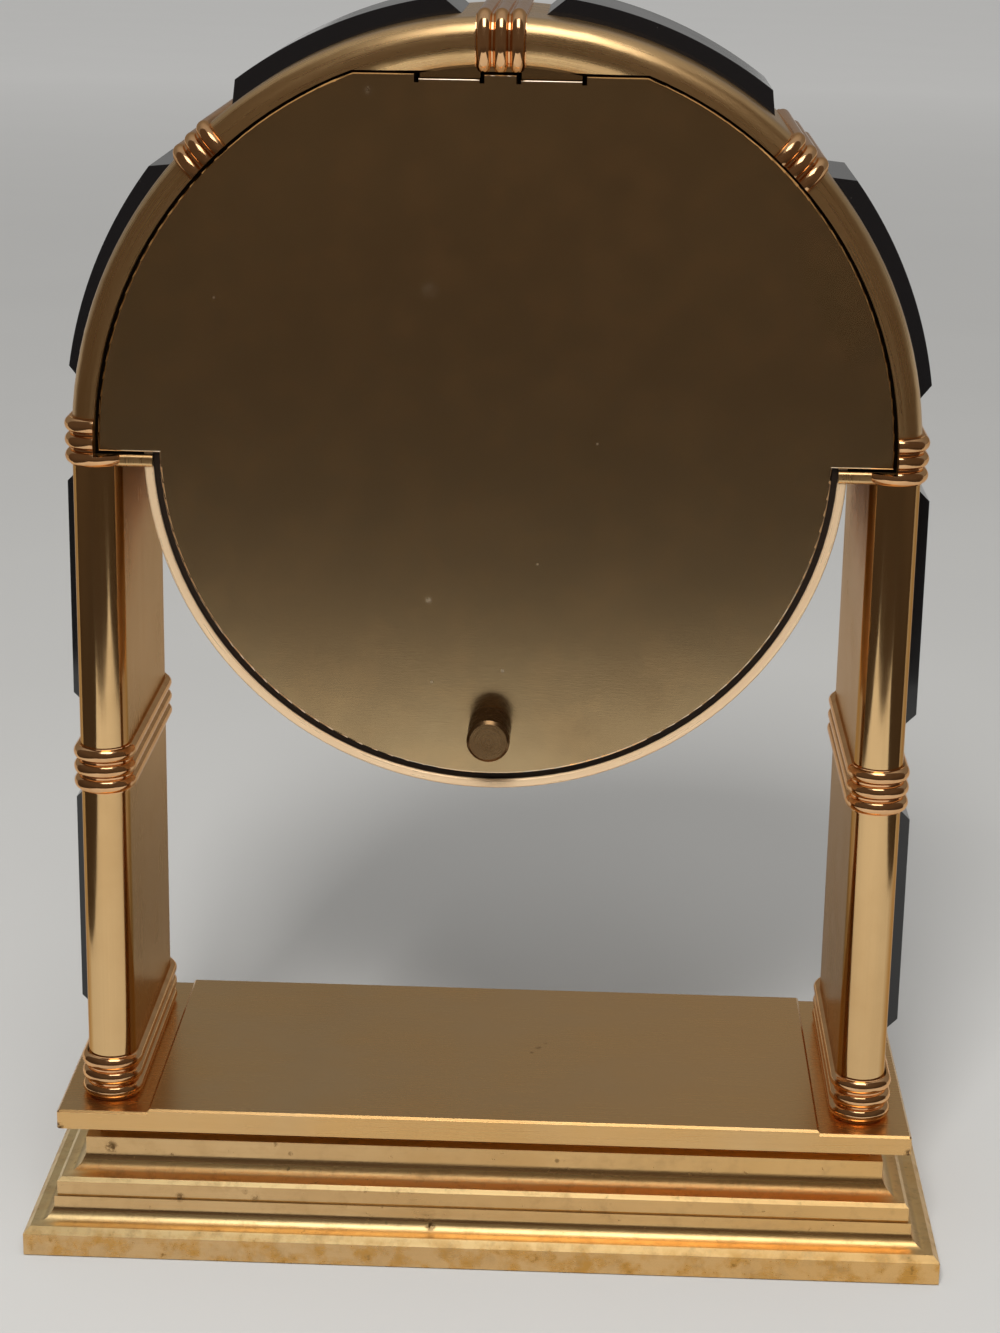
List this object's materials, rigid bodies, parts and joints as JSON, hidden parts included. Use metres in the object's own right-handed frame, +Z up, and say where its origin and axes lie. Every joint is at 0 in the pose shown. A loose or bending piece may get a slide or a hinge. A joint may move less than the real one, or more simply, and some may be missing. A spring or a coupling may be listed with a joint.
{
  "type": "mantel clock",
  "caption": "Gilt arched mantel clock: a round drum in an arch on two beaded columns over a coved base, with black side strips, a hooked back door and a battery movement.",
  "frame": {"origin": "middle of the underside, on the table", "axes": "+X across the clock, dial faces -Y, back door faces +Y, +Z up"},
  "size_m": [0.146, 0.063, 0.1965],
  "materials": {
    "base_moulding": "satin gold plate over a hollow casting",
    "base_top_slab": "brushed gold plate with a polished arris",
    "base_felt_pad": "green felt",
    "tie_screws": "zinc plated",
    "right_foot_collar": "polished gold plate",
    "right_middle_collar": "polished gold plate",
    "right_shoulder_collar": "polished gold plate",
    "right_arch_collar": "polished gold plate",
    "right_lower_column": "satin gold plate",
    "right_upper_column": "satin gold plate",
    "right_lower_column_strip": "polished black",
    "right_upper_column_strip": "polished black",
    "right_lower_arch_strip": "polished black",
    "right_upper_arch_strip": "polished black",
    "left_foot_collar": "polished gold plate",
    "left_middle_collar": "polished gold plate",
    "left_shoulder_collar": "polished gold plate",
    "left_arch_collar": "polished gold plate",
    "left_lower_column": "satin gold plate",
    "left_upper_column": "satin gold plate",
    "left_lower_column_strip": "polished black",
    "left_upper_column_strip": "polished black",
    "left_lower_arch_strip": "polished black",
    "left_upper_arch_strip": "polished black",
    "crown_collar": "polished gold plate",
    "arch_frame": "satin gold plate",
    "drum_case": "polished gold plate",
    "bezel": "polished gold plate",
    "glass": "clear",
    "dial": "satin ivory",
    "dial_spacer": "ivory",
    "hour_markers": "polished",
    "back_door": "brushed, lightly toned",
    "door_knob": "turned, lightly toned",
    "movement_case": "black moulding",
    "movement_cover": "black moulding",
    "rubber_washer": "black",
    "centre_nut": "machined",
    "setting_arbor": "natural moulding",
    "setting_knob": "white moulding",
    "cannon_pinion": "natural moulding",
    "minute_wheel": "natural moulding",
    "hour_wheel": "natural moulding",
    "seconds_arbor": "ground",
    "hour_hand": "black",
    "minute_hand": "black",
    "second_hand": "gilt",
    "battery": "plain cell wrap",
    "battery_contacts": "nickel plated"
  },
  "bodies": {
    "clock_body": {"base_moulding": "base_moulding", "base_top_slab": "base_top_slab", "base_felt_pad": "base_felt_pad", "tie_screws": "tie_screws", "right_foot_collar": "right_foot_collar", "right_middle_collar": "right_middle_collar", "right_shoulder_collar": "right_shoulder_collar", "right_arch_collar": "right_arch_collar", "right_lower_column": "right_lower_column", "right_upper_column": "right_upper_column", "right_lower_column_strip": "right_lower_column_strip", "right_upper_column_strip": "right_upper_column_strip", "right_lower_arch_strip": "right_lower_arch_strip", "right_upper_arch_strip": "right_upper_arch_strip", "left_foot_collar": "left_foot_collar", "left_middle_collar": "left_middle_collar", "left_shoulder_collar": "left_shoulder_collar", "left_arch_collar": "left_arch_collar", "left_lower_column": "left_lower_column", "left_upper_column": "left_upper_column", "left_lower_column_strip": "left_lower_column_strip", "left_upper_column_strip": "left_upper_column_strip", "left_lower_arch_strip": "left_lower_arch_strip", "left_upper_arch_strip": "left_upper_arch_strip", "crown_collar": "crown_collar", "arch_frame": "arch_frame", "drum_case": "drum_case", "bezel": "bezel", "glass": "glass", "dial": "dial", "dial_spacer": "dial_spacer", "hour_markers": "hour_markers", "movement_case": "movement_case", "movement_cover": "movement_cover", "rubber_washer": "rubber_washer", "centre_nut": "centre_nut", "battery_contacts": "battery_contacts"},
    "door": {"back_door": "back_door", "door_knob": "door_knob"},
    "setting_wheel": {"setting_arbor": "setting_arbor", "setting_knob": "setting_knob"},
    "minute_work": {"cannon_pinion": "cannon_pinion", "minute_hand": "minute_hand"},
    "motion_wheel": {"minute_wheel": "minute_wheel"},
    "hour_work": {"hour_wheel": "hour_wheel", "hour_hand": "hour_hand"},
    "seconds_work": {"seconds_arbor": "seconds_arbor", "second_hand": "second_hand"},
    "cell": {"battery": "battery"}
  },
  "joints": [
    {"name": "door_hinge", "type": "hinge", "parent": "clock_body", "child": "door", "pos_m": [0, 0.0204, 0.1862], "axis": [1, 0, 0], "range_deg": [0, 30]},
    {"name": "setting_turn", "type": "hinge", "parent": "clock_body", "child": "setting_wheel", "pos_m": [0, 0, 0.1424], "axis": [0, 1, 0], "continuous": true},
    {"name": "minute_turn", "type": "hinge", "parent": "clock_body", "child": "minute_work", "pos_m": [0, 0, 0.1304], "axis": [0, 1, 0], "continuous": true},
    {"name": "motion_wheel_turn", "type": "hinge", "parent": "clock_body", "child": "motion_wheel", "pos_m": [0, 0, 0.1364], "axis": [0, 1, 0], "continuous": true},
    {"name": "hour_turn", "type": "hinge", "parent": "clock_body", "child": "hour_work", "pos_m": [0, 0, 0.1304], "axis": [0, 1, 0], "continuous": true},
    {"name": "seconds_turn", "type": "hinge", "parent": "clock_body", "child": "seconds_work", "pos_m": [0, 0, 0.1304], "axis": [0, 1, 0], "continuous": true},
    {"name": "cell_slide", "type": "slide", "parent": "clock_body", "child": "cell", "axis": [0, 1, 0], "range_m": [0, 0.014]}
  ],
  "couplings": [
    {"joint": "minute_turn", "follows": "setting_turn", "ratio": 1},
    {"joint": "motion_wheel_turn", "follows": "setting_turn", "ratio": -0.33333},
    {"joint": "hour_turn", "follows": "setting_turn", "ratio": 0.083333}
  ]
}
